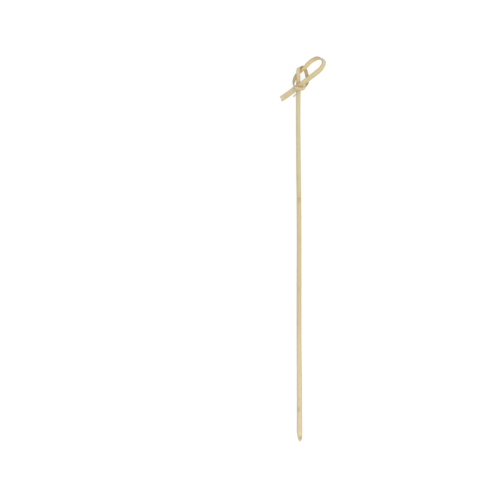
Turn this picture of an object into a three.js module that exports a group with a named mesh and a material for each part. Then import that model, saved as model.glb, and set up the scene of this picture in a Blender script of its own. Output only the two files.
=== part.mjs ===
import * as THREE from "three";

// Knot pick: one bamboo splint, 180 mm long, lying on its back with its knot at the +Y end.
// The shaft is split off thick. Above it the splint is planed down to a thin strip,
// and that strip is tied into a flat knot with one long loop and one free tail.

// Sizes in millimetres.
const SHAFT_THICKNESS = 1.25;
const STRIP_THICKNESS = 0.5;
const STRAND_GAP = 0.2; // clear space between strands that cross
const LAYER = STRIP_THICKNESS + STRAND_GAP; // height of one strand above the one it crosses

const SHAFT_WIDTH = 2.03; // under the knot
const POINT_WIDTH = 2.45; // where the point is cut, so the shaft widens towards it
const NECK_WIDTH = 1.95; // where the shaft has become the strip
const BIGHT_WIDTH = 1.82; // front of the bight that the strip makes first
const STRIP_WIDTH = 1.9;
const COLLAR_WIDTH = 1.75; // where the strip crosses the front
const LOOP_WIDTH = 2.1; // rising side of the long loop
const LEG_WIDTH = 2.2; // falling side of the long loop
const TAIL_WIDTH = 2.48;

const NECK_Y = -12; // the shaft is whole below here
const NECK_LIFT = 0.42; // height of its underside there, as the knot holds it off the table
const CUT_Y = -160.5; // where the point's slanting cut starts
const POINT_Y = -165.0;
const TAIL_SKEW = 0.2; // rise of the tail's end over its width
const CORNER_SHARE = 0.16; // how much of the thickness each worn corner takes

const KNOT_STEP = 0.42; // spacing of the cross-sections along the strip
const SHAFT_STEP = 9;

// The shaft's gentle bow: distance along Y, offset to the side, width as a share of the way
// from SHAFT_WIDTH to POINT_WIDTH.
const SHAFT_BOW = [
  [CUT_Y, 0.6, 1.0],
  [-148, 0.57, 0.8],
  [-136, 0.54, 0.75],
  [-120, 0.4, 0.4],
  [-100, 0.37, 0.35],
  [-71, 0.41, 0.1],
  [-52, 0.3, 0.15],
  [-33, 0.09, 0.0],
  [NECK_Y, -0.03, 0.0],
];

// The point is cut on a slant from the left: share of the cut's length, left edge, right edge,
// and share of the shaft's thickness.
const POINT_CUT = [
  [1.0, 0.5, 1.25, 0.28],
  [0.91, 0.2, 1.45, 0.4],
  [0.65, -0.12, 1.68, 0.6],
  [0.4, -0.36, 1.78, 0.8],
];

// The strip's way through the knot, one row for each place that sets its course:
// x, y, height in layers, the direction its outer face looks, width, and how much of the
// shaft's extra thickness it keeps.
const KNOT_WAY = [
  // Out of the shaft, under the tail and the collar.
  [0, -5, 1.5, [0, 0, 1], SHAFT_WIDTH, 0.9],
  [0, -1.5, 1.25, [0, 0, 1], SHAFT_WIDTH, 0.4],
  [0, 1.5, 1.25, [0, 0, 1], NECK_WIDTH, 0.1],
  // Up the front and over, as the bight.
  [0, 4.5, 2.75, [-0.25, 0, 1], BIGHT_WIDTH, 0],
  [0, 7.5, 4.5, [-0.25, 0, 1], BIGHT_WIDTH, 0],
  [0.25, 9.25, 4, [-0.5, 0.5, 0.5], BIGHT_WIDTH, 0],
  [1.5, 9.75, 2, [-0.25, 0.75, -0.5], STRIP_WIDTH, 0],
  // Down the back, behind the loop's falling side.
  [3, 9.25, 1.3, [0.5, 0.5, -0.5], STRIP_WIDTH, 0],
  [3.75, 7.25, 1.25, [0.75, 0.25, -0.75], STRIP_WIDTH, 0],
  [4.25, 5, 1.25, [0.75, 0, -0.75], STRIP_WIDTH, 0],
  [4.25, 3, 1.5, [0.75, -0.5, -0.5], STRIP_WIDTH, 0.15],
  // Round to the front again and across the shaft, as the collar.
  [3.75, 1.25, 2.25, [0.75, -0.75, 0], STRIP_WIDTH, 0.3],
  [2, -0.25, 4.25, [0.25, -0.5, 0.75], COLLAR_WIDTH, 0.1],
  [0.25, -0.25, 5, [0, -0.5, 0.75], COLLAR_WIDTH, 0],
  [-1.5, 0.5, 4.75, [-0.75, -0.5, 0.5], COLLAR_WIDTH, 0],
  // Up the left side on edge, and behind the bight.
  [-2.25, 1.75, 4.25, [-1, -0.25, 0], STRIP_WIDTH, 0],
  [-2, 3.5, 2.75, [-0.75, 0.25, -0.5], STRIP_WIDTH, 0],
  [-1.25, 5.25, 1.75, [-0.75, 0.25, -0.75], STRIP_WIDTH, 0],
  [0.25, 7.25, 1.5, [-0.5, 0.5, -0.75], STRIP_WIDTH, 0],
  [3.25, 9.75, 4.25, [-0.25, 0.25, -0.75], STRIP_WIDTH, 0],
  // Out along the loop's rising side and round its far end.
  [6, 12.5, 3.5, [-0.25, 0.5, -0.75], LOOP_WIDTH, 0],
  [9, 14, 3.25, [0, 0.75, -0.5], LOOP_WIDTH, 0.25],
  [11, 13.5, 4, [0.5, 0.75, 0.25], LOOP_WIDTH, 0.3],
  [12, 12, 4.5, [0.75, 0, 0.75], LOOP_WIDTH, 0.1],
  // Back along its falling side, over the shaft and under the collar.
  [10.75, 9.25, 4, [0.5, -0.25, 0.75], LEG_WIDTH, 0],
  [8, 6.75, 3.75, [0.25, -0.25, 1], LEG_WIDTH, 0],
  [5.25, 4.75, 4.25, [0, 0, 1], LEG_WIDTH, 0],
  [2.75, 2.75, 3.75, [0, 0, 1], LEG_WIDTH, 0],
  [0, 0.75, 2.5, [0, 0, 1], TAIL_WIDTH, 0],
  [-2, -0.75, 2.5, [0, 0, 1], TAIL_WIDTH, 0],
  // The free tail, which comes down to the table.
  [-5, -3, 1.75, [0, 0, 1], TAIL_WIDTH, 0],
  [-8, -5, 0.43, [0, 0, 1], TAIL_WIDTH, 0],
];

// Height of the shaft's flat underside, which runs from the table at the point up to the neck.
function undersideHeight(y) {
  return (NECK_LIFT * (y - POINT_Y)) / (NECK_Y - POINT_Y);
}

// A row of the way: centre, outer direction, width and thickness as eight plain numbers.
function shaftRow(y, x, width, thickness) {
  const z = undersideHeight(y) + thickness / 2;
  return [x, y, z, 0, 0, 1, width, thickness];
}

function pointRow([share, left, right, thick]) {
  const y = CUT_Y + share * (POINT_Y - CUT_Y);
  return shaftRow(y, (left + right) / 2, right - left, thick * SHAFT_THICKNESS);
}

function bowRow([y, x, share]) {
  const width = SHAFT_WIDTH + share * (POINT_WIDTH - SHAFT_WIDTH);
  return shaftRow(y, x, width, SHAFT_THICKNESS);
}

function knotRow([x, y, layers, [fx, fy, fz], width, share]) {
  const thickness = STRIP_THICKNESS + share * (SHAFT_THICKNESS - STRIP_THICKNESS);
  return [x, y, layers * LAYER, fx, fy, fz, width, thickness];
}

// Value between b and c on a smooth curve through a, b, c and d, which are spaced by the
// given knot intervals.
function between(a, b, c, d, [before, here, after], t) {
  const slopeB = ((b - a) / before - (c - a) / (before + here) + (c - b) / here) * here;
  const slopeC = ((c - b) / here - (d - b) / (here + after) + (d - c) / after) * here;
  const square = 3 * (c - b) - 2 * slopeB - slopeC;
  const cube = 2 * (b - c) + slopeB + slopeC;
  return b + t * (slopeB + t * (square + t * cube));
}

function distance(p, q) {
  return Math.hypot(q[0] - p[0], q[1] - p[1], q[2] - p[2]);
}

// Rows spaced by about one step along the smooth curve through the given rows.
function smoothRows(rows) {
  const ahead = rows[0].map((value, k) => 2 * value - rows[1][k]);
  const last = rows.length - 1;
  const beyond = rows[last].map((value, k) => 2 * value - rows[last - 1][k]);
  const all = [ahead, ...rows, beyond];
  const made = [];
  for (let i = 1; i <= last; i += 1) {
    const four = all.slice(i - 1, i + 3);
    const spans = [0, 1, 2].map((k) => Math.sqrt(distance(four[k], four[k + 1])));
    const step = four[2][1] <= NECK_Y ? SHAFT_STEP : KNOT_STEP;
    const count = Math.max(1, Math.round(distance(four[1], four[2]) / step));
    for (let k = 0; k < count; k += 1) {
      const t = k / count;
      made.push(four[1].map((_, n) => between(...four.map((row) => row[n]), spans, t)));
    }
  }
  made.push(rows[last]);
  return made;
}

// Centre, forward, outward and sideways directions at each row.
function frameAt(rows, i) {
  const before = rows[Math.max(i - 1, 0)];
  const after = rows[Math.min(i + 1, rows.length - 1)];
  const forward = new THREE.Vector3(...after.slice(0, 3));
  forward.sub(new THREE.Vector3(...before.slice(0, 3))).normalize();
  const outward = new THREE.Vector3(...rows[i].slice(3, 6));
  outward.addScaledVector(forward, -outward.dot(forward)).normalize();
  const sideways = new THREE.Vector3().crossVectors(outward, forward);
  return { centre: new THREE.Vector3(...rows[i].slice(0, 3)), forward, outward, sideways };
}

// The cross-section is a flat bar with its corners worn off: share of half the width, share of
// half the thickness, and which way each corner is cut back.
function sectionPoints(width, thickness) {
  const across = width / 2;
  const deep = thickness / 2;
  const corner = Math.min(CORNER_SHARE * thickness, 0.4 * across);
  return [
    [across, deep - corner],
    [across - corner, deep],
    [corner - across, deep],
    [-across, deep - corner],
    [-across, corner - deep],
    [corner - across, -deep],
    [across - corner, -deep],
    [across, corner - deep],
  ];
}

// Closed skin round the cross-sections, with a flat cap at the point and at the tail.
function sweep(rows) {
  const positions = [];
  const indices = [];
  const last = rows.length - 1;
  let sides = 0;
  rows.forEach((row, i) => {
    const { centre, forward, outward, sideways } = frameAt(rows, i);
    const section = sectionPoints(row[6], row[7]);
    sides = section.length;
    section.forEach(([u, v]) => {
      const p = centre.clone().addScaledVector(sideways, u).addScaledVector(outward, v);
      if (i === last) p.addScaledVector(forward, TAIL_SKEW * u);
      positions.push(p.x, p.y, p.z);
    });
  });
  for (let i = 0; i < last; i += 1) {
    for (let k = 0; k < sides; k += 1) {
      const a = i * sides + k;
      const b = i * sides + ((k + 1) % sides);
      indices.push(a, b, a + sides, b, b + sides, a + sides);
    }
  }
  for (let k = 1; k < sides - 1; k += 1) {
    indices.push(0, k + 1, k);
    indices.push(last * sides, last * sides + k, last * sides + k + 1);
  }
  const geometry = new THREE.BufferGeometry();
  geometry.setAttribute("position", new THREE.Float32BufferAttribute(positions, 3));
  geometry.setIndex(indices);
  return geometry;
}

// The pick rests on the table: the middle of its footprint is the origin.
function placeOnTable(geometry) {
  geometry.computeBoundingBox();
  const { min, max } = geometry.boundingBox;
  geometry.translate(-(min.x + max.x) / 2, -(min.y + max.y) / 2, -min.z);
  geometry.computeVertexNormals();
  return geometry;
}

const pointRows = POINT_CUT.map(pointRow);
const shaftAndKnot = smoothRows([...SHAFT_BOW.map(bowRow), ...KNOT_WAY.map(knotRow)]);

const bamboo = new THREE.MeshStandardMaterial({
  name: "bamboo",
  color: 0xdcc99b,
  roughness: 0.6,
  metalness: 0,
});
const pick = new THREE.Mesh(placeOnTable(sweep([...pointRows, ...shaftAndKnot])), bamboo);
pick.name = "knot_pick";

const part = new THREE.Group();
part.name = "part";
part.add(pick);

export default part;
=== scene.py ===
"""The look of the knot pick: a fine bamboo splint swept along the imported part's own path."""

import logging  # noqa: E402
import math  # noqa: E402
from dataclasses import dataclass, field  # noqa: E402
from enum import Enum  # noqa: E402

import bpy  # noqa: E402
import numpy as np  # noqa: E402
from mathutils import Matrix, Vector  # noqa: E402


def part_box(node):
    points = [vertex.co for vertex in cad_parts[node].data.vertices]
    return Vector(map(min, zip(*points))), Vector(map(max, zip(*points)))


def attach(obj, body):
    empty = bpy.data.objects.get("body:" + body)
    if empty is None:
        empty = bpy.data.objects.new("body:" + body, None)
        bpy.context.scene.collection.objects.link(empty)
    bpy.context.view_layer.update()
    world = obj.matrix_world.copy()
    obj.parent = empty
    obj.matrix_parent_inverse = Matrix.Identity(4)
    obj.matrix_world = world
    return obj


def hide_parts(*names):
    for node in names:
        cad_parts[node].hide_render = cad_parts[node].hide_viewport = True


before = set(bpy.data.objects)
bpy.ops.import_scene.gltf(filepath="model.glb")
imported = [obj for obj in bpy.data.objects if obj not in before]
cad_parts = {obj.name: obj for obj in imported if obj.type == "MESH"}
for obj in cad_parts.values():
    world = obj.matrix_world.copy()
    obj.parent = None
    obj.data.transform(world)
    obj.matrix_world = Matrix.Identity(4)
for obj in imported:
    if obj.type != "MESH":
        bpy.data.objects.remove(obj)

log = logging.getLogger("knot_pick")

MM = 0.001
NODE = "knot_pick"
BODY = "root"
PHOTO_SIDE_PX = 500
MM_PER_PX = 180 / 385
KNOT_ORIGIN_PX = (298.183, 88.395)  # where x = 0, y = 0 of the path lists lies in the photograph
SEED = 4

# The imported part's own values, in millimetres.
SHAFT_THICKNESS = 1.25
STRIP_THICKNESS = 0.5
STRAND_GAP = 0.2
LAYER = STRIP_THICKNESS + STRAND_GAP
SHAFT_WIDTH = 2.03
POINT_WIDTH = 2.45
NECK_WIDTH = 1.95
BIGHT_WIDTH = 1.82
STRIP_WIDTH = 1.9
COLLAR_WIDTH = 1.75
LOOP_WIDTH = 2.1
LEG_WIDTH = 2.2
TAIL_WIDTH = 2.48
NECK_Y = -12.0
NECK_LIFT = 0.42
CUT_Y = -160.5
POINT_Y = -165.0
TAIL_SKEW = 0.2

# The shaft's bow: distance along Y, offset to the side, and width as a share of the way from
# SHAFT_WIDTH to POINT_WIDTH.
SHAFT_BOW = (
    (CUT_Y, 0.6, 1.0),
    (-148, 0.57, 0.8),
    (-136, 0.54, 0.75),
    (-120, 0.4, 0.4),
    (-100, 0.37, 0.35),
    (-71, 0.41, 0.1),
    (-52, 0.3, 0.15),
    (-33, 0.09, 0.0),
    (NECK_Y, -0.03, 0.0),
)

# The point: share of the cut's length, left edge, right edge, and share of the thickness.
POINT_CUT = (
    (1.0, 0.5, 1.25, 0.28),
    (0.91, 0.2, 1.45, 0.4),
    (0.65, -0.12, 1.68, 0.6),
    (0.4, -0.36, 1.78, 0.8),
)

# The strip's way through the knot: x, y, height in layers, the direction its outer face looks,
# width, and how much of the shaft's extra thickness it keeps.
KNOT_WAY = (
    # Out of the shaft, under the tail and the collar.
    (0, -5, 1.5, (0, 0, 1), SHAFT_WIDTH, 0.9),
    (0, -1.5, 1.25, (0, 0, 1), SHAFT_WIDTH, 0.4),
    (0, 1.5, 1.25, (0, 0, 1), NECK_WIDTH, 0.1),
    # Up the front and over, as the bight.
    (0, 4.5, 2.75, (-0.25, 0, 1), BIGHT_WIDTH, 0),
    (0, 7.5, 4.5, (-0.25, 0, 1), BIGHT_WIDTH, 0),
    (0.25, 9.25, 4, (-0.5, 0.5, 0.5), BIGHT_WIDTH, 0),
    (1.5, 9.75, 2, (-0.25, 0.75, -0.5), STRIP_WIDTH, 0),
    # Down the back, behind the loop's falling side.
    (3, 9.25, 1.3, (0.5, 0.5, -0.5), STRIP_WIDTH, 0),
    (3.75, 7.25, 1.25, (0.75, 0.25, -0.75), STRIP_WIDTH, 0),
    (4.25, 5, 1.25, (0.75, 0, -0.75), STRIP_WIDTH, 0),
    (4.25, 3, 1.5, (0.75, -0.5, -0.5), STRIP_WIDTH, 0.15),
    # Round to the front again and across the shaft, as the collar.
    (3.75, 1.25, 2.25, (0.75, -0.75, 0), STRIP_WIDTH, 0.3),
    (2, -0.25, 4.25, (0.25, -0.5, 0.75), COLLAR_WIDTH, 0.1),
    (0.25, -0.25, 5, (0, -0.5, 0.75), COLLAR_WIDTH, 0),
    (-1.5, 0.5, 4.75, (-0.75, -0.5, 0.5), COLLAR_WIDTH, 0),
    # Up the left side on edge, and behind the bight.
    (-2.25, 1.75, 4.25, (-1, -0.25, 0), STRIP_WIDTH, 0),
    (-2, 3.5, 2.75, (-0.75, 0.25, -0.5), STRIP_WIDTH, 0),
    (-1.25, 5.25, 1.75, (-0.75, 0.25, -0.75), STRIP_WIDTH, 0),
    (0.25, 7.25, 1.5, (-0.5, 0.5, -0.75), STRIP_WIDTH, 0),
    (3.25, 9.75, 4.25, (-0.25, 0.25, -0.75), STRIP_WIDTH, 0),
    # Out along the loop's rising side and round its far end.
    (6, 12.5, 3.5, (-0.25, 0.5, -0.75), LOOP_WIDTH, 0),
    (9, 14, 3.25, (0, 0.75, -0.5), LOOP_WIDTH, 0.25),
    (11, 13.5, 4, (0.5, 0.75, 0.25), LOOP_WIDTH, 0.3),
    (12, 12, 4.5, (0.75, 0, 0.75), LOOP_WIDTH, 0.1),
    # Back along its falling side, over the shaft and under the collar.
    (10.75, 9.25, 4, (0.5, -0.25, 0.75), LEG_WIDTH, 0),
    (8, 6.75, 3.75, (0.25, -0.25, 1), LEG_WIDTH, 0),
    (5.25, 4.75, 4.25, (0, 0, 1), LEG_WIDTH, 0),
    (2.75, 2.75, 3.75, (0, 0, 1), LEG_WIDTH, 0),
    (0, 0.75, 2.5, (0, 0, 1), TAIL_WIDTH, 0),
    (-2, -0.75, 2.5, (0, 0, 1), TAIL_WIDTH, 0),
    # The free tail, which comes down to the table.
    (-5, -3, 1.75, (0, 0, 1), TAIL_WIDTH, 0),
    (-8, -5, 0.43, (0, 0, 1), TAIL_WIDTH, 0),
)


def linear(red: float, green: float, blue: float) -> tuple[float, float, float, float]:
    """Turns a colour as seen on screen into the renderer's linear colour.

    Args:
        red: Red from 0 to 255.
        green: Green from 0 to 255.
        blue: Blue from 0 to 255.

    Returns:
        Linear red, green and blue, and an alpha of 1.
    """
    seen = [c / 255 for c in (red, green, blue)]
    made = [c / 12.92 if c <= 0.04045 else ((c + 0.055) / 1.055) ** 2.4 for c in seen]
    return (made[0], made[1], made[2], 1.0)


class Side(Enum):
    """Which way a strip of the splint's skin looks, as the value of its Side attribute."""

    OUTER = 0.0
    EDGE = 0.5
    INNER = 1.0


class Place(Enum):
    """What part of the section a point lies on."""

    FACE = "face"
    EDGE = "edge"
    CORNER = "corner"


@dataclass(frozen=True)
class BambooFinish:
    """The colours and the surface of split bamboo, with lengths in millimetres."""

    straw: tuple = linear(210, 195, 143)
    tan: tuple = linear(212, 190, 147)
    pale_tan: tuple = linear(223, 204, 165)
    # Grey-olive of the skin, also used as painted shade on the shaft's left edge.
    skin: tuple = linear(192, 187, 157)
    # Brown of the right flank, partly painted shade.
    flank: tuple = linear(203, 183, 153)
    # Pale grey, also used as painted sheen on the loop's far end.
    mist_and_sheen: tuple = linear(218, 213, 205)
    olive: tuple = linear(196, 190, 136)
    rose: tuple = linear(226, 190, 156)
    gold: tuple = linear(224, 200, 128)
    ember: tuple = linear(214, 168, 112)
    brown: tuple = linear(146, 118, 78)
    # Pale tone, also used for the painted highlight streak on the shaft.
    pale: tuple = linear(236, 222, 178)
    # Fibre grain, also used as painted shade on the narrow edges and the right edge.
    grain_and_shade: tuple = linear(158, 136, 92)
    # Painted shade for the creases where strands lie close together.
    crease_shade: tuple = linear(116, 92, 52)
    fresh_cut: tuple = linear(244, 224, 150)
    grey_cut: tuple = linear(160, 152, 118)
    fibres_per_mm: float = 3.2
    fibre_length_mm: float = 24.0
    pores_per_mm: float = 5.5
    knot_starts_back_mm: float = 84.0
    knot_whole_back_mm: float = 78.0
    fresh_cut_at_mm: float = 3.6
    grey_cut_at_mm: float = 1.7
    node_mark_mm: float = 1.3
    roughness: float = 0.58
    bump_mm: float = 0.03
    bump_strength: float = 0.75
    specular: float = 0.35
    refraction: float = 1.46


BAMBOO = BambooFinish()


@dataclass(frozen=True)
class Smudge:
    """A darker place on the shaft's skin, where the stem had a node."""

    along_mm: float
    share: float
    strength: float


class Expr:
    """A node socket that takes part in plain arithmetic, each step of which adds a Math node."""

    def __init__(self, tree: bpy.types.NodeTree, socket: bpy.types.NodeSocket) -> None:
        """Wraps a socket.

        Args:
            tree: The tree that new nodes go into.
            socket: The socket that carries the value.
        """
        self.tree = tree
        self.socket = socket

    def _math(self, operation: str, *values: "Expr | float") -> "Expr":
        """Adds a Math node.

        Args:
            operation: Blender's name of the operation.
            values: What goes into the node, in order.

        Returns:
            The node's result.
        """
        node = self.tree.nodes.new("ShaderNodeMath")
        node.operation = operation
        for slot, value in zip(node.inputs, values):
            if isinstance(value, Expr):
                self.tree.links.new(value.socket, slot)
            else:
                slot.default_value = value
        return Expr(self.tree, node.outputs[0])

    def __add__(self, other: "Expr | float") -> "Expr":
        """Adds."""
        return self._math("ADD", self, other)

    def __radd__(self, other: float) -> "Expr":
        """Adds to a plain number."""
        return self._math("ADD", other, self)

    def __sub__(self, other: "Expr | float") -> "Expr":
        """Takes away."""
        return self._math("SUBTRACT", self, other)

    def __rsub__(self, other: float) -> "Expr":
        """Takes away from a plain number."""
        return self._math("SUBTRACT", other, self)

    def __mul__(self, other: "Expr | float") -> "Expr":
        """Multiplies."""
        return self._math("MULTIPLY", self, other)

    def __rmul__(self, other: float) -> "Expr":
        """Multiplies a plain number."""
        return self._math("MULTIPLY", other, self)

    def __truediv__(self, other: "Expr | float") -> "Expr":
        """Divides."""
        return self._math("DIVIDE", self, other)

    def __rtruediv__(self, other: float) -> "Expr":
        """Divides a plain number."""
        return self._math("DIVIDE", other, self)

    def __pow__(self, other: "Expr | float") -> "Expr":
        """Raises to a power."""
        return self._math("POWER", self, other)

    def __abs__(self) -> "Expr":
        """Drops the sign."""
        return self._math("ABSOLUTE", self)

    def ramp(self, low: float, high: float) -> "Expr":
        """Rises smoothly from 0 at low to 1 at high.

        Args:
            low: The value that gives 0.
            high: The value that gives 1.

        Returns:
            The share between them.
        """
        node = self.tree.nodes.new("ShaderNodeMapRange")
        node.interpolation_type = "SMOOTHSTEP"
        self.tree.links.new(self.socket, node.inputs["Value"])
        node.inputs["From Min"].default_value = low
        node.inputs["From Max"].default_value = high
        return Expr(self.tree, node.outputs["Result"])

    def bell(self, middle: float, spread: float) -> "Expr":
        """Gives 1 at middle and falls off on both sides.

        Args:
            middle: Where the bell is 1.
            spread: How far from there it has fallen to a third.

        Returns:
            The bell's height.
        """
        away = (self - middle) / spread
        return 1.0 / (1.0 + (away * away) ** 1.5 * 2.0)


class Graph:
    """A node tree with one method that adds a node of any kind."""

    def __init__(self, tree: bpy.types.NodeTree) -> None:
        """Takes the tree that is filled."""
        self.tree = tree

    def node(
        self, kind: str, settings: dict[str, object] | None = None, **inputs: object
    ) -> bpy.types.Node:
        """Adds a node, sets it up and then fills its sockets.

        Args:
            kind: Blender's type name of the node.
            settings: The node's own settings, such as its data type.
            inputs: Values, sockets or expressions by socket name, with _ for a space, or by place,
                as in_0 for the first one.

        Returns:
            The node.
        """
        made = self.tree.nodes.new(kind)
        for key, value in (settings or {}).items():
            setattr(made, key, value)
        for key, value in inputs.items():
            place = key.removeprefix("in_")
            slot = made.inputs[int(place) if place.isdigit() else key.replace("_", " ")]
            value = value.socket if isinstance(value, Expr) else value
            if isinstance(value, bpy.types.NodeSocket):
                self.tree.links.new(value, slot)
            else:
                slot.default_value = value
        return made


class BambooGraph(Graph):
    """A material's node tree, with the few kinds of node that bamboo is made of."""

    def __init__(self, name: str) -> None:
        """Makes the material.

        Args:
            name: Its name.
        """
        self.material = bpy.data.materials.new(name)
        self.material.use_nodes = True
        super().__init__(self.material.node_tree)
        self.shader = self.tree.nodes["Principled BSDF"]

    def attribute(self, name: str) -> bpy.types.Node:
        """Reads one of the mesh's own attributes."""
        return self.node("ShaderNodeAttribute", {"attribute_name": name})

    def number(self, name: str) -> Expr:
        """Reads an attribute that is a plain number."""
        return Expr(self.tree, self.attribute(name).outputs["Fac"])

    def vector(self, x: Expr, y: Expr, z: Expr) -> Expr:
        """Joins three numbers into a vector."""
        return Expr(self.tree, self.node("ShaderNodeCombineXYZ", X=x, Y=y, Z=z).outputs[0])

    def noise(self, where: Expr, scale: float, detail: float = 3.0, rough: float = 0.55) -> Expr:
        """Adds a noise field with values about 0.5.

        Args:
            where: The point that it is read at.
            scale: Lumps per unit.
            detail: How many finer layers it has.
            rough: How strong they are.

        Returns:
            The noise.
        """
        node = self.node(
            "ShaderNodeTexNoise", Vector=where, Scale=scale, Detail=detail, Roughness=rough
        )
        return Expr(self.tree, node.outputs["Fac"])

    def mix(self, share: "Expr | float", low: object, high: object) -> Expr:
        """Blends two colours.

        Args:
            share: How much of high there is.
            low: Colour or expression.
            high: Colour or expression.

        Returns:
            The blended colour.
        """
        settings = {"data_type": "RGBA", "clamp_factor": True}
        node = self.node("ShaderNodeMix", settings, in_0=share, in_6=low, in_7=high)
        return Expr(self.tree, node.outputs[2])

    def set(self, name: str, value: object) -> None:
        """Sets or links one of the shader's own inputs.

        Args:
            name: The input's name.
            value: A plain value or an expression.
        """
        if isinstance(value, Expr):
            self.tree.links.new(value.socket, self.shader.inputs[name])
        else:
            self.shader.inputs[name].default_value = value


SMUDGES = (
    Smudge(15.1, -0.2, 0.42),
    Smudge(19.8, -0.1, 0.12),
    Smudge(71.0, 0.0, 0.15),
    Smudge(113.0, 0.05, 0.7),
    Smudge(123.0, -0.1, 0.15),
)


@dataclass(frozen=True)
class Tint:
    """A stretch of the knot's strip with a colour of its own.

    Its middle is measured back from the end of the tail. The grey one on the loop's far end is
    painted sheen.
    """

    back_mm: float
    spread_mm: float
    colour: tuple
    strength: float


TINTS = (
    Tint(77.4, 1.4, BAMBOO.pale_tan, 0.5),
    Tint(74.4, 1.5, BAMBOO.pale_tan, 0.6),
    Tint(71.0, 1.3, BAMBOO.rose, 0.35),
    Tint(68.0, 1.4, BAMBOO.pale, 0.75),
    Tint(65.6, 1.1, BAMBOO.olive, 0.25),
    Tint(62.6, 2.1, BAMBOO.rose, 0.75),
    Tint(61.8, 1.6, BAMBOO.pale_tan, 0.6),
    Tint(53.6, 1.6, BAMBOO.ember, 0.3),
    Tint(51.2, 1.1, BAMBOO.rose, 0.6),
    Tint(48.5, 1.3, BAMBOO.brown, 0.4),
    Tint(43.0, 2.6, BAMBOO.ember, 0.45),
    Tint(38.0, 2.4, BAMBOO.gold, 0.45),
    Tint(34.6, 2.2, BAMBOO.pale, 0.4),
    Tint(32.2, 1.4, BAMBOO.ember, 0.3),
    # Painted sheen on the loop's far end.
    Tint(28.8, 1.9, BAMBOO.mist_and_sheen, 0.8),
    Tint(23.5, 1.7, BAMBOO.gold, 0.3),
    Tint(18.8, 1.6, BAMBOO.olive, 0.35),
    Tint(16.4, 1.2, BAMBOO.olive, 0.45),
    Tint(12.6, 1.8, BAMBOO.gold, 0.35),
    Tint(7.4, 1.7, BAMBOO.skin, 0.6),
    Tint(4.6, 1.3, BAMBOO.rose, 0.5),
    Tint(2.6, 1.0, BAMBOO.olive, 0.35),
    Tint(0.6, 0.8, BAMBOO.pale, 0.4),
)


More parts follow.
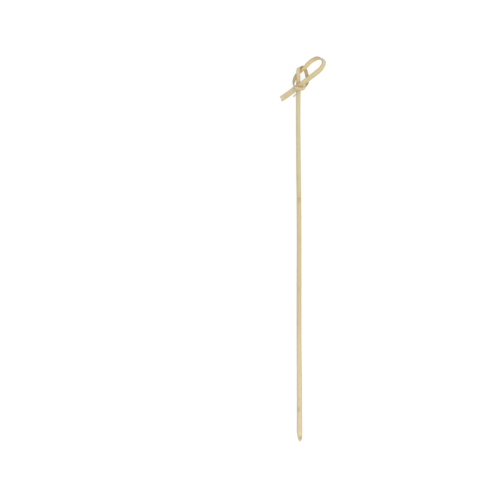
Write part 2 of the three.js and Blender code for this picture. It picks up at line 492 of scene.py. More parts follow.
def bamboo_material(finish: BambooFinish, length: float) -> bpy.types.Material:
    """Makes split bamboo, which reads the splint's own coordinates.

    Args:
        finish: Its colours and surface.
        length: The splint's length in millimetres, from its point to the end of its tail.

    Returns:
        The material.
    """
    g = BambooGraph("bamboo")
    split = g.node("ShaderNodeSeparateXYZ", Vector=g.attribute("Splint").outputs["Vector"])
    across, along, deep = (Expr(g.tree, s) for s in split.outputs)
    share = g.number("Across")
    side = g.number("Side")
    cut = g.number("Cut")
    crease_shade = g.number("CreaseShade")

    # Noise fields, most of them stretched along the fibres.
    stretched = g.vector(across, along / finish.fibre_length_mm, deep)
    fibre = g.noise(stretched, finish.fibres_per_mm, 4.0, 0.7)
    fine = g.noise(stretched, finish.fibres_per_mm * 4.2, 2.0, 0.6)
    band = g.noise(g.vector(across * 0.55, along / 60.0, deep * 0.4), 1.1, 2.0, 0.5)
    patch = g.noise(g.vector(across * 0.25, along * 0.8, deep * 0.1), 0.3, 2.0, 0.5)
    mottle = g.noise(g.vector(across, along * 0.8, deep), 1.1, 3.0, 0.6)

    # Tones along the shaft, with a paler streak right of its middle.
    low_tone = g.mix(along.ramp(40.0, 60.0), finish.pale_tan, finish.tan)
    colour = g.mix(along.ramp(98.0, 122.0), low_tone, finish.straw)
    colour = g.mix(band.ramp(0.5, 0.72) * 0.4, colour, finish.rose)
    # The paler streak right of the middle is partly painted highlight.
    colour = g.mix(share.bell(0.35, 0.25) * 0.35, colour, finish.pale)

    # The knot's patches, and the tint of each stretch of its strip, one of them painted sheen.
    knot_starts = length - finish.knot_starts_back_mm
    in_knot = along.ramp(knot_starts, length - finish.knot_whole_back_mm)
    colour = g.mix(in_knot * patch.ramp(0.52, 0.64) * 0.3, colour, finish.rose)
    colour = g.mix(in_knot * (1.0 - patch).ramp(0.52, 0.64) * 0.3, colour, finish.olive)
    colour = g.mix(in_knot * mottle.ramp(0.5, 0.7) * 0.3, colour, finish.gold)
    colour = g.mix(in_knot * 0.3, colour, finish.pale_tan)
    for tint in TINTS:
        here = along.bell(length - tint.back_mm, tint.spread_mm) * (0.55 + 0.9 * mottle)
        colour = g.mix(here * tint.strength, colour, tint.colour)

    # The inner face is more golden. The outer skin is greyer to the left and browner to the right.
    inner = side.ramp(0.55, 0.9)
    colour = g.mix(inner * 0.2, colour, finish.gold)
    colour = g.mix(inner * mottle.ramp(0.45, 0.7) * 0.2, colour, finish.ember)
    outer_skin = (1.0 - side).ramp(0.4, 0.9)
    # Greyer left edge: partly the skin's own colour, partly painted shade of the rounded edge.
    colour = g.mix((0.0 - share).ramp(0.25, 0.95) * outer_skin * 0.75, colour, finish.skin)
    # Browner right flank and edge: partly their own colour, partly painted shade of the rounded
    # edge.
    colour = g.mix(share.ramp(0.35, 1.0) * 0.55, colour, finish.flank)
    colour = g.mix(share.ramp(0.75, 1.05) * 0.35, colour, finish.grain_and_shade)

    # Node marks on the shaft, and the pale and grey faces of the cut point.
    for spot in SMUDGES:
        here = along.bell(spot.along_mm, finish.node_mark_mm) * share.bell(spot.share, 0.6)
        colour = g.mix(here * mottle.ramp(0.2, 0.6) * spot.strength, colour, finish.brown)
    fresh = along.bell(finish.fresh_cut_at_mm, 0.95) * share.bell(0.25, 0.6)
    colour = g.mix(fresh * 0.65, colour, finish.fresh_cut)
    grey = along.bell(finish.grey_cut_at_mm, 0.85) * share.ramp(-1.2, 0.4)
    colour = g.mix(grey * 0.75, colour, finish.grey_cut)
    colour = g.mix((1.0 - along.ramp(0.2, 0.9)) * 0.5, colour, finish.mist_and_sheen)

    # Fibres, painted shade on the narrow edges and in the creases between strands, and the pores in
    # the sawn end.
    colour = g.mix(fibre.ramp(0.56, 0.74) * 0.4, colour, finish.grain_and_shade)
    colour = g.mix((1.0 - fibre).ramp(0.5, 0.72) * 0.3, colour, finish.pale)
    colour = g.mix(fine.ramp(0.6, 0.78) * 0.25, colour, finish.grain_and_shade)
    # Painted shade: the narrow edge faces are darkened.
    edge = 1.0 - abs(side - 0.5).ramp(0.0, 0.4)
    colour = g.mix(edge * 0.18, colour, finish.grain_and_shade)
    # Painted shade where another strand lies close over the skin.
    colour = g.mix(crease_shade * (0.1 + 0.3 * mottle), colour, finish.crease_shade)
    pores = g.node(
        "ShaderNodeTexVoronoi", Vector=g.vector(across, along, deep), Scale=finish.pores_per_mm
    )
    dots = 1.0 - Expr(g.tree, pores.outputs["Distance"]).ramp(0.15, 0.42)
    colour = g.mix(cut * 0.6, colour, finish.pale)
    colour = g.mix(cut * dots * 0.7, colour, finish.brown)

    g.set("Base Color", colour)
    g.set("Roughness", finish.roughness + 0.22 * fibre - 0.1 * (1.0 - side))
    g.set("IOR", finish.refraction)
    g.set("Specular IOR Level", finish.specular)
    bump = g.node(
        "ShaderNodeBump",
        Height=fibre * 0.7 + fine * 0.3,
        Strength=finish.bump_strength,
        Distance=finish.bump_mm * MM,
    )
    g.set("Normal", Expr(g.tree, bump.outputs[0]))
    return g.material


class SplintPath:
    """The splint's way from its point to the end of its tail, in the path lists' millimetres."""

    POINT_STEP = 0.15

    def __init__(self, shaft_step: float, knot_step: float) -> None:
        """Makes closely spaced rows along the way.

        Args:
            shaft_step: Spacing of the rows along the shaft.
            knot_step: Spacing of the rows through the knot.
        """
        way = [self._bow_row(*r) for r in SHAFT_BOW] + [self._knot_row(*r) for r in KNOT_WAY]
        point = self._straight(self._point_rows() + way[:1], self.POINT_STEP)
        rows = np.array(point[:-1] + self._smooth(way, shaft_step, knot_step))
        self.centre, outward, self.width, self.thickness = (
            rows[:, :3],
            rows[:, 3:6],
            rows[:, 6],
            rows[:, 7],
        )
        steps = np.linalg.norm(np.diff(self.centre, axis=0), axis=1)
        self.along = np.concatenate([[0.0], np.cumsum(steps)])
        forward = np.gradient(self.centre, axis=0)
        self.forward = forward / np.linalg.norm(forward, axis=1)[:, None]
        outward = outward - (outward * self.forward).sum(1)[:, None] * self.forward
        self.outward = outward / np.linalg.norm(outward, axis=1)[:, None]
        self.sideways = np.cross(self.outward, self.forward)

    @staticmethod
    def _underside(y: float) -> float:
        """Gives the height of the shaft's underside, which rises from the point to the neck."""
        return NECK_LIFT * (y - POINT_Y) / (NECK_Y - POINT_Y)

    def _shaft_row(self, y: float, x: float, width: float, thickness: float) -> list[float]:
        """Makes one row of the shaft, whose outer side looks up."""
        return [x, y, self._underside(y) + thickness / 2, 0, 0, 1, width, thickness]

    def _point_rows(self) -> list[list[float]]:
        """Makes the rows of the cut point, from its end up.

        Returns:
            The rows.
        """
        made = []
        for share, left, right, thick in POINT_CUT:
            y = CUT_Y + share * (POINT_Y - CUT_Y)
            thickness = thick * SHAFT_THICKNESS
            made.append(self._shaft_row(y, (left + right) / 2, right - left, thickness))
        return made

    def _bow_row(self, y: float, x: float, share: float) -> list[float]:
        """Makes one row of the bowed shaft, share of the way to the point's width."""
        width = SHAFT_WIDTH + share * (POINT_WIDTH - SHAFT_WIDTH)
        return self._shaft_row(y, x, width, SHAFT_THICKNESS)

    @staticmethod
    def _knot_row(
        x: float, y: float, layers: float, face: tuple, width: float, share: float
    ) -> list[float]:
        """Makes one row of the knot, share of the way from the strip's thickness to the shaft's."""
        thickness = STRIP_THICKNESS + share * (SHAFT_THICKNESS - STRIP_THICKNESS)
        return [x, y, layers * LAYER, *face, width, thickness]

    @staticmethod
    def _straight(rows: list[list[float]], step: float) -> list[list[float]]:
        """Fills straight stretches between rows.

        Args:
            rows: The rows to join.
            step: Spacing of the new rows.

        Returns:
            The filled rows.
        """
        made = []
        for a, b in zip(rows, rows[1:]):
            first, second = np.array(a), np.array(b)
            count = max(1, round(float(np.linalg.norm(second[:3] - first[:3])) / step))
            made += [list(first + (second - first) * k / count) for k in range(count)]
        return made + [list(rows[-1])]

    @staticmethod
    def _smooth(rows: list[list[float]], shaft_step: float, knot_step: float) -> list[list[float]]:
        """Fills a smooth curve through rows.

        Args:
            rows: The rows that it goes through.
            shaft_step: Spacing below the neck.
            knot_step: Spacing above it.

        Returns:
            The filled rows.
        """
        r = [np.array(row, float) for row in rows]
        r = [2 * r[0] - r[1], *r, 2 * r[-1] - r[-2]]
        made = []
        for i in range(1, len(rows)):
            a, b, c, d = r[i - 1 : i + 3]
            before, here, after = (
                math.sqrt(float(np.linalg.norm(q[:3] - p[:3]))) for p, q in ((a, b), (b, c), (c, d))
            )
            slope_b = ((b - a) / before - (c - a) / (before + here) + (c - b) / here) * here
            slope_c = ((c - b) / here - (d - b) / (here + after) + (d - c) / after) * here
            square = 3 * (c - b) - 2 * slope_b - slope_c
            cube = 2 * (b - c) + slope_b + slope_c
            step = shaft_step if c[1] <= NECK_Y else knot_step
            count = max(1, round(float(np.linalg.norm(c[:3] - b[:3])) / step))
            for k in range(count):
                t = k / count
                made.append(list(b + t * (slope_b + t * (square + t * cube))))
        return made + [list(rows[-1])]


class ValueNoise:
    """Smooth noise of two variables from a fixed table of random numbers."""

    def __init__(self, seed: int, size: int = 256) -> None:
        """Fills the table.

        Args:
            seed: What the random numbers start from.
            size: Rows and columns of the table, after which it repeats.
        """
        self.size = size
        self.table = np.random.default_rng(seed).uniform(-1, 1, (size, size))

    def at(self, u: np.ndarray, v: np.ndarray) -> np.ndarray:
        """Reads the noise.

        Args:
            u: First variable.
            v: Second variable.

        Returns:
            Values from -1 to 1.
        """
        iu, iv = np.floor(u).astype(int), np.floor(v).astype(int)
        fu, fv = u - iu, v - iv
        fu, fv = fu * fu * (3 - 2 * fu), fv * fv * (3 - 2 * fv)
        n = self.size
        low = self.table[iu % n, iv % n] * (1 - fu) + self.table[(iu + 1) % n, iv % n] * fu
        high = self.table[iu % n, (iv + 1) % n] * (1 - fu)
        high = high + self.table[(iu + 1) % n, (iv + 1) % n] * fu
        return low * (1 - fv) + high * fv


@dataclass(frozen=True)
class SectionPoint:
    """A point round the section, whatever its size: from -1 to 1 across and deep."""

    across: float
    deep: float
    place: Place
    turn: float = 0.0


@dataclass
class Splint:
    """The whole pick: one fine mesh swept along its path, with its own coordinates.

    Lengths are in millimetres.
    """

    finish: BambooFinish
    shaft_step: float = 0.45
    knot_step: float = 0.13
    across_faces: int = 14
    round_faces: int = 3
    edge_faces: int = 3
    worn_share: float = 0.2
    worn_limit: float = 0.4
    wobble_mm: float = 0.02
    wobble_length: float = 7.0
    node_at: float = 15.5
    node_reach: float = 1.1
    node_mm: float = 0.035
    crown_mm: float = 0.035
    crown_half: float = 0.9
    ridge_mm: float = 0.012
    ridges_per_mm: float = 5.5
    ridge_length: float = 9.0
    first_lane: float = 5.0
    inner_lanes: float = 40.0
    ragged_mm: float = 0.09
    teeth_per_mm: tuple[float, float] = (6.0, 9.0)
    first_teeth: tuple[float, float] = (20.0, 3.0)
    knot_reach: float = 92.0
    same_strand: float = 3.0
    # Reach, fall-off, facing bias and row spacing of the painted crease shade.
    crease_shade_mm: float = 0.4
    crease_shade_fall: float = 1.5
    crease_shade_lean: float = 0.25
    crease_shade_every: int = 4
    edge_band: float = 0.2
    least_half: float = 0.2
    path: SplintPath = field(init=False)
    half: np.ndarray = field(init=False)
    # The painted crease shade of each ring point.
    crease_shade: np.ndarray = field(init=False)
    shift_mm: np.ndarray = field(init=False)
    material: bpy.types.Material = field(init=False)

    def __post_init__(self) -> None:
        """Works out the path and makes the bamboo."""
        self.path = SplintPath(self.shaft_step, self.knot_step)
        self.material = bamboo_material(self.finish, float(self.path.along[-1]))

    def _section(self) -> list[SectionPoint]:
        """Lists the points round the section.

        Returns:
            The points, from the outer face's right end round to the start again.
        """
        turns = [(k + 1) / (self.round_faces + 1) for k in range(self.round_faces)]
        flat = [1 - 2 * k / self.across_faces for k in range(self.across_faces + 1)]
        edge = [1 - 2 * k / self.edge_faces for k in range(self.edge_faces + 1)]
        points = [SectionPoint(u, 1.0, Place.FACE) for u in flat]
        points += [SectionPoint(-1.0, 1.0, Place.CORNER, turn) for turn in turns]
        points += [SectionPoint(-1.0, v, Place.EDGE) for v in edge]
        points += [SectionPoint(-1.0, -1.0, Place.CORNER, turn) for turn in turns]
        points += [SectionPoint(-u, -1.0, Place.FACE) for u in flat]
        points += [SectionPoint(1.0, -1.0, Place.CORNER, turn) for turn in turns]
        points += [SectionPoint(1.0, -v, Place.EDGE) for v in edge]
        points += [SectionPoint(1.0, 1.0, Place.CORNER, turn) for turn in turns]
        return points

    def _corner(
        self, point: SectionPoint, half: np.ndarray, deep: np.ndarray, worn: np.ndarray
    ) -> tuple[np.ndarray, np.ndarray, float]:
        """Places a point of a worn corner.

        Args:
            point: The point of the section.
            half: Half the width at each row.
            deep: Half the thickness at each row.
            worn: How far the corner is worn at each row.

        Returns:
            Its place across, its place in depth, and its Side value.
        """
        angle = point.turn * math.pi / 2
        first, second = math.cos(angle), math.sin(angle)
        if point.across * point.deep < 0:
            first, second = second, first
        a = point.across * (half - worn + worn * first)
        d = point.deep * (deep - worn + worn * second)
        face = Side.OUTER.value if point.deep > 0 else Side.INNER.value
        return a, d, face + (Side.EDGE.value - face) * (first * first)

    def build(self) -> bpy.types.Object:
        """Makes the splint's mesh and its attributes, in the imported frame.

        Returns:
            The object.
        """
        p = self.path
        section = self._section()
        noise = ValueNoise(SEED)
        count, sides = len(p.centre), len(section)
        wobble = noise.at(p.along / self.wobble_length, np.full(count, 0.5))
        half = p.width / 2 + self.wobble_mm * wobble
        deep = p.thickness / 2
        worn = np.minimum(self.worn_share * p.thickness, self.worn_limit * half)
        swell = self.node_mm * np.exp(-(((p.along - self.node_at) / self.node_reach) ** 2))
        crown = self.crown_mm * np.clip(half / self.crown_half, 0, 1)
        points = np.zeros((count, sides, 3))
        across, depth, kind = (np.zeros((count, sides)) for _ in range(3))
        for k, point in enumerate(section):
            u, v = point.across, point.deep
            if point.place is Place.EDGE:
                a, d, side = u * half, v * (deep - worn), Side.EDGE.value
            elif point.place is Place.FACE:
                a, d = u * (half - worn), v * deep + crown * (1 - u * u) * (v > 0) + v * swell
                side = Side.OUTER.value if v > 0 else Side.INNER.value
            else:
                a, d, side = self._corner(point, half, deep, worn)
            across[:, k], depth[:, k], kind[:, k] = a, d, side
            lane = (a + self.first_lane) * self.ridges_per_mm + self.inner_lanes * (v < 0)
            ridge = self.ridge_mm * noise.at(lane, p.along / self.ridge_length + d)
            ridge = ridge * np.clip(half, 0, 1)
            if point.place is Place.EDGE:
                a = a + np.sign(u) * ridge
            else:
                d = d + np.sign(v) * ridge
            points[:, k] = p.centre + p.sideways * a[:, None] + p.outward * d[:, None]
        teeth = across[-1] * self.teeth_per_mm[0] + self.first_teeth[0]
        deep_teeth = depth[-1] * self.teeth_per_mm[1] + self.first_teeth[1]
        ragged = self.ragged_mm * noise.at(teeth, deep_teeth)
        points[-1] += p.forward[-1] * (TAIL_SKEW * across[-1] + ragged)[:, None]
        self.half = half
        self.crease_shade = self._crease_shade(points, kind, across)
        return self._mesh(points, across, depth, kind)

    def _crease_shade(self, points: np.ndarray, kind: np.ndarray, across: np.ndarray) -> np.ndarray:
        """Finds how closely another strand of the knot lies over each point of the skin.

        Args:
            points: Ring points, by row and place in the section.
            kind: Their Side values.
            across: Their sideways places in millimetres.

        Returns:
            How much painted crease shade each point gets: 0 where the skin is open and up to 1
            where a strand lies on it.
        """
        p = self.path
        found = np.zeros(points.shape[:2])
        knot = np.where(p.along > p.along[-1] - self.knot_reach)[0]
        others = knot[:: self.crease_shade_every]
        up = np.sign(0.5 - kind)[..., None] * p.outward[:, None]
        out = np.sign(across)[..., None] * p.sideways[:, None]
        on_edge = np.abs(kind - Side.EDGE.value)[..., None] < self.edge_band
        normal = np.where(on_edge, out, up)
        for other in others:
            rows = knot[np.abs(p.along[knot] - p.along[other]) > self.same_strand]
            away = points[rows] - p.centre[other]
            a = away @ p.sideways[other]
            d = away @ p.outward[other]
            f = away @ p.forward[other]
            gap_a = np.sign(a) * np.maximum(np.abs(a) - p.width[other] / 2, 0)
            gap_d = np.sign(d) * np.maximum(np.abs(d) - p.thickness[other] / 2, 0)
            gap_f = np.sign(f) * np.maximum(np.abs(f) - 2 * self.knot_step, 0)
            gap = np.sqrt(gap_a**2 + gap_d**2 + gap_f**2) + 1e-6
            towards = gap_a[..., None] * p.sideways[other] + gap_d[..., None] * p.outward[other]
            towards = -(towards + gap_f[..., None] * p.forward[other]) / gap[..., None]
            facing = np.clip((towards * normal[rows]).sum(-1) + self.crease_shade_lean, 0, 1)
            near = np.clip(1 - gap / self.crease_shade_mm, 0, 1) ** self.crease_shade_fall
            found[rows] = np.maximum(found[rows], near * facing)
        return found

    def _mesh(
        self, points: np.ndarray, across: np.ndarray, depth: np.ndarray, kind: np.ndarray
    ) -> bpy.types.Object:
        """Joins the rings into one closed mesh and writes its attributes.

        Args:
            points: Ring points, by row and place in the section.
            across: Their sideways places in millimetres.
            depth: Their places along the section's thickness.
            kind: Their Side values.

        Returns:
            The object, with its place in its mesh.
        """
        p = self.path
        count, sides = points.shape[:2]
        low, high = points.reshape(-1, 3).min(0), points.reshape(-1, 3).max(0)
        cad_low, cad_high = (np.array(v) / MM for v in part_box(NODE))
        self.shift_mm = (cad_low + cad_high - low - high) / 2
        self.shift_mm[2] = cad_low[2] - low[2]
        ends = points[[0, -1]].mean(1)
        verts = (np.vstack([points.reshape(-1, 3), ends]) + self.shift_mm) * MM
        rows = np.arange(count - 1)[:, None] * sides
        k = np.arange(sides)[None, :]
        after = (k + 1) % sides
        quads = np.stack([rows + k, rows + after, rows + after + sides, rows + k + sides], -1)
        faces = quads.reshape(-1, 4).tolist()
        last = (count - 1) * sides
        for a in range(sides):
            b = (a + 1) % sides
            faces += [[a, count * sides, b], [last + a, last + b, count * sides + 1]]
        mesh = bpy.data.meshes.new("splint")
        mesh.from_pydata(verts.tolist(), [], faces)
        mesh.validate()
        along = np.repeat(p.along[:, None], sides, 1)
        splint = np.stack([-across, along, depth], -1).reshape(-1, 3)
        splint = np.vstack([splint, [[0.0, 0.0, 0.0]], [[0.0, p.along[-1], 0.0]]])
        share = (-across / np.maximum(self.half, self.least_half)[:, None]).reshape(-1)
        cut = np.zeros((count, sides))
        cut[-1] = 1.0
        write_points(mesh, "Splint", splint)
        write_points(mesh, "Across", np.append(share, [0.0, 0.0]))
        write_points(mesh, "Side", np.append(kind.reshape(-1), [Side.EDGE.value] * 2))
        # The painted crease shade, which the bamboo material reads.
        write_points(mesh, "CreaseShade", np.append(self.crease_shade.reshape(-1), [0.0, 0.0]))
        write_points(mesh, "Cut", np.append(cut.reshape(-1), [1.0, 1.0]))
        mesh.polygons.foreach_set("use_smooth", [len(f) == 4 for f in faces])
        mesh.materials.append(self.material)
        log.info("splint: %d faces, %.1f mm along", len(faces), p.along[-1])
        return new_object("splint", mesh)


def write_points(mesh: bpy.types.Mesh, name: str, data: np.ndarray) -> None:
    """Writes an attribute of a mesh's points.

    Args:
        mesh: The mesh.
        name: The attribute's name.
        data: One number or one vector for each point.
    """
    vectors = data.ndim == 2
    attribute = mesh.attributes.new(name, "FLOAT_VECTOR" if vectors else "FLOAT", "POINT")
    values = np.asarray(data, np.float32).ravel()
    attribute.data.foreach_set("vector" if vectors else "value", values)


def new_object(name: str, data: bpy.types.ID) -> bpy.types.Object:
    """Makes an object and links it to the scene.

    Args:
        name: The object's name.
        data: Its mesh, light or camera.

    Returns:
        The object.
    """
    made = bpy.data.objects.new(name, data)
    bpy.context.scene.collection.objects.link(made)
    return made


@dataclass(frozen=True)
class Root:
    """Where a loose fibre leaves the splint, in the path lists' millimetres, and how it looks."""

    place: np.ndarray
    lean: np.ndarray
    reach: float
    thick: float
    splint: tuple[float, float, float]
    share: float
    # How much painted shade the fibre gets.
    shade: float


@dataclass
class Fray:
    """The fibres that stand off the splint's edges and its sawn tail, and one lifted splinter.

    Lengths are in millimetres, and those measured back start at the end of the tail.
    """

    splint: Splint
    edge_fibres: int = 80
    knot_share: float = 0.55
    knot_back: tuple[float, float] = (0.5, 82)
    shaft_back: tuple[float, float] = (82, 235)
    edge_reach: tuple[float, float] = (0.25, 1.0)
    edge_spread: tuple[float, float] = (0.1, 0.38)
    edge_height: tuple[float, float] = (0.12, 3.6)
    edge_level: float = 0.25
    edge_lift: tuple[float, float] = (-0.05, 0.1)
    open_crease: float = 0.02
    tail_fibres: int = 26
    tail_reach: tuple[float, float] = (0.1, 0.34)
    tail_across: float = 0.92
    tail_level: float = 0.35
    tail_depth: float = 0.05
    tail_spread: float = 0.25
    tail_lift: tuple[float, float] = (-0.05, 0.15)
    tail_shade: float = 0.15
    thick: tuple[float, float] = (0.02, 0.045)
    root_depth: float = 0.015
    fibre_steps: int = 5
    fibre_sides: int = 5
    fibre_end: float = 0.35
    fibre_belly: float = 2.6
    bend: float = 1.3
    thickness_spread: float = 0.35
    splinter_y: float = -2.6
    splinter_lean: tuple[float, float, float] = (-0.72, -0.69, 0.04)
    splinter_reach: float = 1.7
    splinter_thick: float = 0.3
    splinter_shade: float = 2.3
    strip_length: float = 70.0

    def _edge_roots(self, random: np.random.Generator) -> list[Root]:
        """Picks places along both edges, away from where strands touch.

        Args:
            random: The seeded source of chance.

        Returns:
            The roots.
        """
        p = self.splint.path
        made: list[Root] = []
        while len(made) < self.edge_fibres:
            in_knot = random.random() < self.knot_share
            back = random.uniform(*(self.knot_back if in_knot else self.shaft_back))
            row = int(np.argmin(np.abs(p.along - (p.along[-1] - back))))
            sign = random.choice([-1.0, 1.0])
            level = random.uniform(-self.edge_level, self.edge_level) * p.thickness[row]
            out = p.sideways[row] * sign
            reach_out = self.splint.half[row] - self.root_depth
            place = p.centre[row] + out * reach_out + p.outward[row] * level
            height = place[2] + self.splint.shift_mm[2]
            open_here = self.edge_height[0] < height < self.edge_height[1]
            if self.splint.crease_shade[row].max() > self.open_crease or not open_here:
                continue
            lean = p.forward[row] * random.choice([-1.0, 1.0])
            lean = lean + out * random.uniform(*self.edge_spread)
            lean = lean + p.outward[row] * random.uniform(*self.edge_lift)
            made.append(
                Root(
                    place=place,
                    lean=lean / np.linalg.norm(lean),
                    reach=random.uniform(*self.edge_reach),
                    thick=random.uniform(*self.thick),
                    splint=(-sign * self.splint.half[row], float(p.along[row]), level),
                    share=-sign,
                    shade=0.0,
                )
            )
        return made

    def _tail_roots(self, random: np.random.Generator) -> list[Root]:
        """Picks places over the sawn end of the tail.

        Args:
            random: The seeded source of chance.

        Returns:
            The roots.
        """
        p = self.splint.path
        made = []
        for _ in range(self.tail_fibres):
            a = random.uniform(-self.tail_across, self.tail_across) * self.splint.half[-1]
            level = random.uniform(-self.tail_level, self.tail_level) * p.thickness[-1]
            place = p.centre[-1] + p.sideways[-1] * a + p.outward[-1] * level
            place = place + p.forward[-1] * (TAIL_SKEW * a - self.tail_depth)
            to_side = random.uniform(-self.tail_spread, self.tail_spread)
            lean = p.forward[-1] + p.sideways[-1] * to_side
            lean = lean + p.outward[-1] * random.uniform(*self.tail_lift)
            made.append(
                Root(
                    place=place,
                    lean=lean / np.linalg.norm(lean),
                    reach=random.uniform(*self.tail_reach),
                    thick=random.uniform(*self.thick),
                    splint=(-a, float(p.along[-1]), level),
                    share=-a / self.splint.half[-1],
                    shade=self.tail_shade,
                )
            )
        return made

    def _splinter(self) -> Root:
        """Places the one big splinter, on the shaft's left edge under the tail.

        Returns:
            Its root.
        """
        p = self.splint.path
        shaft = p.along < p.along[-1] - self.strip_length
        row = int(np.argmin(np.where(shaft, np.abs(p.centre[:, 1] - self.splinter_y), np.inf)))
        half = self.splint.half[row]
        place = p.centre[row] + p.sideways[row] * (half - 2 * self.root_depth)
        lean = np.array(self.splinter_lean)
        return Root(
            place=place,
            lean=lean / np.linalg.norm(lean),
            reach=self.splinter_reach,
            thick=self.splinter_thick,
            splint=(-half, float(p.along[row]), 0.0),
            share=-1.0,
            shade=self.splinter_shade,
        )

    def _seeds(self, roots: list[Root]) -> bpy.types.Object:
        """Makes a mesh of loose points that carries what each fibre needs.

        Args:
            roots: The fibres' roots.

        Returns:
            The object.
        """
        mesh = bpy.data.meshes.new("fray_roots")
        places = (np.array([r.place for r in roots]) + self.splint.shift_mm) * MM
        mesh.from_pydata(places.tolist(), [], [])
        write_points(mesh, "Lean", np.array([r.lean for r in roots]))
        write_points(mesh, "Reach", np.array([r.reach for r in roots]) * MM)
        write_points(mesh, "Thick", np.array([r.thick for r in roots]) * MM)
        write_points(mesh, "Splint", np.array([r.splint for r in roots]))
        write_points(mesh, "Across", np.array([r.share for r in roots]))
        write_points(mesh, "Side", np.full(len(roots), Side.EDGE.value))
        # Each fibre's painted shade goes into the crease shade that the material reads.
        write_points(mesh, "CreaseShade", np.array([r.shade for r in roots]))
        write_points(mesh, "Cut", np.zeros(len(roots)))
        return new_object("fray_roots", mesh)

    def _tree(self) -> bpy.types.NodeTree:
        """Builds the tree that grows one slim, slightly bent fibre from each point.

        Returns:
            The tree.
        """
        tree = bpy.data.node_groups.new("fray", "GeometryNodeTree")
        for name, kind in (
            ("Geometry", "NodeSocketGeometry"),
            ("Fibre Bend", "NodeSocketFloat"),
            ("Thickness Spread", "NodeSocketFloat"),
            ("Seed", "NodeSocketInt"),
            ("Material", "NodeSocketMaterial"),
        ):
            tree.interface.new_socket(name, in_out="INPUT", socket_type=kind)
        tree.interface.new_socket("Geometry", in_out="OUTPUT", socket_type="NodeSocketGeometry")
        g = Graph(tree)
        given = g.node("NodeGroupInput").outputs
        share = Expr(tree, g.node("GeometryNodeSplineParameter").outputs["Factor"])
        slim = self.fibre_end + self.fibre_belly * share * (1.0 - share)
        tip = g.node("ShaderNodeCombineXYZ", X=given["Fibre Bend"], Z=1.0)
        spine = g.node(
            "GeometryNodeCurveQuadraticBezier",
            Resolution=self.fibre_steps,
            Start=(0, 0, 0),
            Middle=(0, 0, 0.5),
            End=tip.outputs[0],
        )
        ring = g.node(
            "GeometryNodeCurvePrimitiveCircle", Resolution=self.fibre_sides, Radius=0.5
        )
        fibre = g.node(
            "GeometryNodeCurveToMesh",
            Curve=spine.outputs[0],
            Profile_Curve=ring.outputs[0],
            Scale=slim,
            Fill_Caps=True,
        )
        read = "GeometryNodeInputNamedAttribute"
        lean = g.node(read, {"data_type": "FLOAT_VECTOR"}, Name="Lean").outputs["Attribute"]
        reach = g.node(read, {"data_type": "FLOAT"}, Name="Reach").outputs["Attribute"]
        thick = Expr(tree, g.node(read, {"data_type": "FLOAT"}, Name="Thick").outputs["Attribute"])
        chance = g.node(
            "FunctionNodeRandomValue",
            {"data_type": "FLOAT"},
            in_2=-1.0,
            in_3=1.0,
            Seed=given["Seed"],
        )
        chance = Expr(tree, chance.outputs[1])
        thick = thick * (1.0 + chance * Expr(tree, given["Thickness Spread"]))
        turn = g.node("FunctionNodeAlignRotationToVector", {"axis": "Z"}, Vector=lean)
        scale = g.node("ShaderNodeCombineXYZ", X=thick, Y=thick, Z=reach)
        points = g.node("GeometryNodeMeshToPoints", Mesh=given["Geometry"])
        grown = g.node(
            "GeometryNodeInstanceOnPoints",
            Points=points.outputs[0],
            Instance=fibre.outputs[0],
            Rotation=turn.outputs[0],
            Scale=scale.outputs[0],
        )
        about = g.node("ShaderNodeCombineXYZ", Z=chance * math.pi)
        about = g.node("FunctionNodeEulerToRotation", Euler=about.outputs[0])
        spun = g.node(
            "GeometryNodeRotateInstances", Instances=grown.outputs[0], Rotation=about.outputs[0]
        )
        real = g.node("GeometryNodeRealizeInstances", Geometry=spun.outputs[0])
        dressed = g.node(
            "GeometryNodeSetMaterial", Geometry=real.outputs[0], Material=given["Material"]
        )
        g.node("NodeGroupOutput", Geometry=dressed.outputs[0])
        return tree

    def build(self) -> bpy.types.Object:
        """Grows the fibres and turns them into a plain mesh.

        Returns:
            The object.
        """
        random = np.random.default_rng(SEED + 1)
        roots = self._edge_roots(random) + self._tail_roots(random) + [self._splinter()]
        seeds = self._seeds(roots)
        modifier = seeds.modifiers.new("fray", "NODES")
        modifier.node_group = self._tree()
        sockets = modifier.node_group.interface.items_tree
        names = {s.name: s.identifier for s in sockets if s.in_out == "INPUT"}
        modifier[names["Fibre Bend"]] = self.bend
        modifier[names["Thickness Spread"]] = self.thickness_spread
        modifier[names["Seed"]] = SEED
        modifier[names["Material"]] = self.splint.material
        graph = bpy.context.evaluated_depsgraph_get()
        mesh = bpy.data.meshes.new_from_object(
            seeds.evaluated_get(graph), preserve_all_data_layers=True, depsgraph=graph
        )
        mesh.name = "fray"
        seeds.modifiers.remove(modifier)
        bpy.data.objects.remove(seeds)
        log.info("fray: %d fibres, %d faces", len(roots), len(mesh.polygons))
        return new_object("fray", mesh)


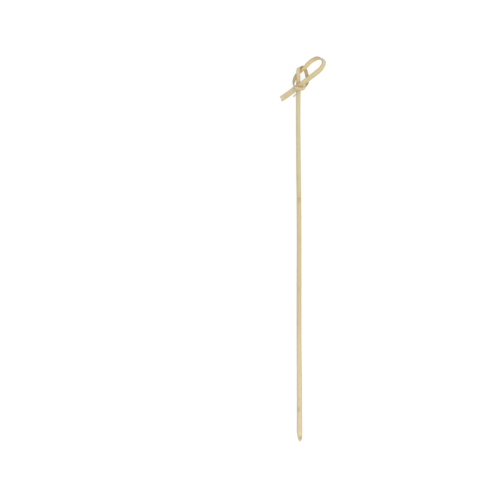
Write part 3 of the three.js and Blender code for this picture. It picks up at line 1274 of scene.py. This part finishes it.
@dataclass
class Studio:
    """The pale floor, the soft light and the camera over the pick."""

    origin_mm: np.ndarray
    distance: float = 1.6
    sensor_mm: float = 36.0
    clip: tuple[float, float] = (0.05, 10.0)
    world_strength: float = 0.77
    sun_strength: float = 0.78
    sun_size_deg: float = 40.0
    sun_direction: tuple[float, float, float] = (-0.2, 0.2, -1.0)
    floor_half: float = 2.0
    floor_drop_mm: float = 0.02
    floor_bounce: float = 0.9
    floor_shade: float = 0.27
    floor_seen: float = 1.05

    def build(self) -> None:
        """Makes the floor, the world, the sun and the camera."""
        self._floor()
        self._world()
        self._sun()
        self._camera()

    @staticmethod
    def _part_rays(g: Graph, lit: bpy.types.Node, seen: bpy.types.Node, end: str) -> None:
        """Ends a tree with one shader for the light and another for the camera.

        Args:
            g: The tree.
            lit: What the light meets.
            seen: What the camera sees.
            end: The name of the tree's output node.
        """
        rays = g.node("ShaderNodeLightPath").outputs["Is Camera Ray"]
        mixed = g.node("ShaderNodeMixShader", in_0=rays, in_1=lit.outputs[0], in_2=seen.outputs[0])
        g.tree.links.new(mixed.outputs[0], g.tree.nodes[end].inputs["Surface"])

    def _floor(self) -> None:
        """Lays the floor, which the camera sees nearly white, with the pick's shadow on it."""
        s = self.floor_half
        mesh = bpy.data.meshes.new("floor")
        mesh.from_pydata([(-s, -s, 0), (s, -s, 0), (s, s, 0), (-s, s, 0)], [], [(0, 1, 2, 3)])
        floor = new_object("floor", mesh)
        material = bpy.data.materials.new("pale_floor")
        material.use_nodes = True
        g = Graph(material.node_tree)
        g.tree.nodes.remove(g.tree.nodes["Principled BSDF"])
        lit = g.node("ShaderNodeBsdfDiffuse", Color=(*[self.floor_bounce] * 3, 1))
        seen = g.node("ShaderNodeBsdfDiffuse", Color=(*[self.floor_shade] * 3, 1))
        glow = g.node("ShaderNodeEmission", Strength=self.floor_seen - self.floor_shade)
        both = g.node("ShaderNodeAddShader", in_0=seen.outputs[0], in_1=glow.outputs[0])
        self._part_rays(g, lit, both, "Material Output")
        mesh.materials.append(material)
        floor.location.z = -self.floor_drop_mm * MM

    def _world(self) -> None:
        """Fills the room with plain white light, behind which the camera sees white."""
        world = bpy.data.worlds.new("studio")
        bpy.context.scene.world = world
        world.use_nodes = True
        g = Graph(world.node_tree)
        light = g.tree.nodes["Background"]
        light.inputs["Color"].default_value = (1, 1, 1, 1)
        light.inputs["Strength"].default_value = self.world_strength
        white = g.node("ShaderNodeBackground", Color=(1, 1, 1, 1), Strength=1.0)
        self._part_rays(g, light, white, "World Output")

    def _sun(self) -> None:
        """Hangs a soft sun over the pick's lower right."""
        data = bpy.data.lights.new("sun", "SUN")
        data.energy = self.sun_strength
        data.angle = math.radians(self.sun_size_deg)
        sun = new_object("sun", data)
        sun.rotation_mode = "QUATERNION"
        sun.rotation_quaternion = Vector(self.sun_direction).to_track_quat("-Z", "Y")

    def _camera(self) -> None:
        """Sets a long lens straight over the pick, so that the frame falls as in the photograph."""
        middle_px = PHOTO_SIDE_PX / 2
        x = (middle_px - KNOT_ORIGIN_PX[0]) * MM_PER_PX + self.origin_mm[0]
        y = (KNOT_ORIGIN_PX[1] - middle_px) * MM_PER_PX + self.origin_mm[1]
        data = bpy.data.cameras.new("camera")
        data.sensor_width = self.sensor_mm
        data.lens = data.sensor_width * self.distance / (PHOTO_SIDE_PX * MM_PER_PX * MM)
        data.clip_start, data.clip_end = self.clip
        camera = new_object("camera", data)
        camera.location = (x * MM, y * MM, self.distance)
        bpy.context.scene.camera = camera


def main() -> None:
    """Builds the pick and its studio in order."""
    logging.basicConfig(level=logging.INFO)
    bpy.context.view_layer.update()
    splint = Splint(BAMBOO)
    pick = splint.build()
    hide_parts(NODE)
    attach(pick, BODY)
    fray = Fray(splint).build()
    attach(fray, BODY)
    Studio(splint.shift_mm).build()
    scene = bpy.context.scene
    scene.view_settings.view_transform = "Standard"
    bpy.context.view_layer.update()


if __name__ == "__main__":
    main()
